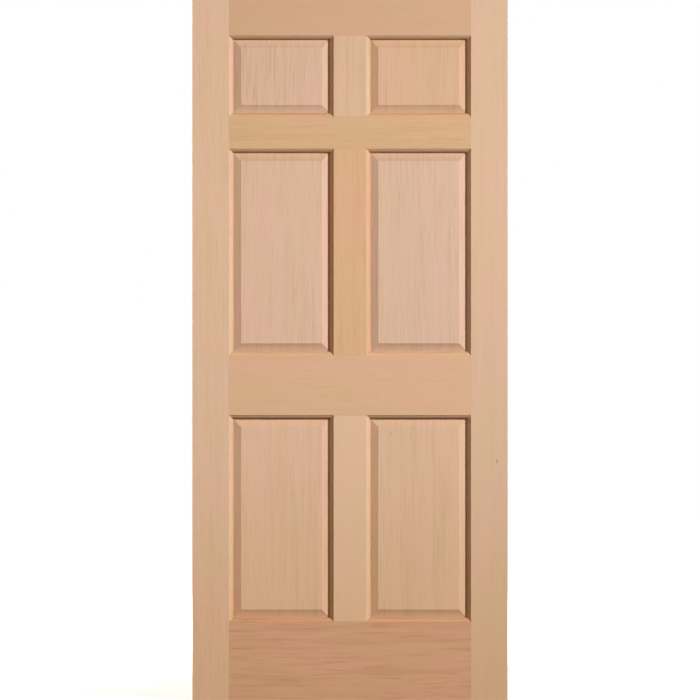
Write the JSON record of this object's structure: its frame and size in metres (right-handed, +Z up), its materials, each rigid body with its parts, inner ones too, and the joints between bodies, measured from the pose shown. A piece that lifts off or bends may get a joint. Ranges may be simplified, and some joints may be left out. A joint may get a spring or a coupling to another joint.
{
  "type": "panelled front door slab",
  "caption": "Front door slab of clear softwood, built from stiles, rails and mullions with moulded edges round raised panels, unfinished and undrilled.",
  "frame": {"origin": "middle of the slab's bottom edge, halfway through its thickness", "axes": "+Z up the height, X across the width, -Y out of the outside face"},
  "size_m": [0.9144, 0.0444, 2.032],
  "materials": {
    "fir_stiles": "planed and fine sanded vertical-grain fir, unfinished, grain upright",
    "fir_rails": "planed and fine sanded vertical-grain fir, unfinished, grain level",
    "fir_mullions": "planed and fine sanded vertical-grain fir, unfinished, grain upright",
    "fir_panels": "raised and fine sanded vertical-grain fir, unfinished, grain upright",
    "birch_dowels": "turned birch rod"
  },
  "bodies": {
    "root": {"left_stile": "fir_stiles", "right_stile": "fir_stiles", "bottom_rail": "fir_rails", "lock_rail": "fir_rails", "frieze_rail": "fir_rails", "top_rail": "fir_rails", "lower_mullion": "fir_mullions", "middle_mullion": "fir_mullions", "upper_mullion": "fir_mullions", "lower_left_panel": "fir_panels", "lower_right_panel": "fir_panels", "middle_left_panel": "fir_panels", "middle_right_panel": "fir_panels", "upper_left_panel": "fir_panels", "upper_right_panel": "fir_panels", "bottom_rail_left_dowels": "birch_dowels", "bottom_rail_right_dowels": "birch_dowels", "lock_rail_left_dowels": "birch_dowels", "lock_rail_right_dowels": "birch_dowels", "frieze_rail_left_dowels": "birch_dowels", "frieze_rail_right_dowels": "birch_dowels", "top_rail_left_dowels": "birch_dowels", "top_rail_right_dowels": "birch_dowels", "lower_mullion_bottom_dowels": "birch_dowels", "lower_mullion_top_dowels": "birch_dowels", "middle_mullion_bottom_dowels": "birch_dowels", "middle_mullion_top_dowels": "birch_dowels", "upper_mullion_bottom_dowels": "birch_dowels", "upper_mullion_top_dowels": "birch_dowels"}
  },
  "joints": []
}
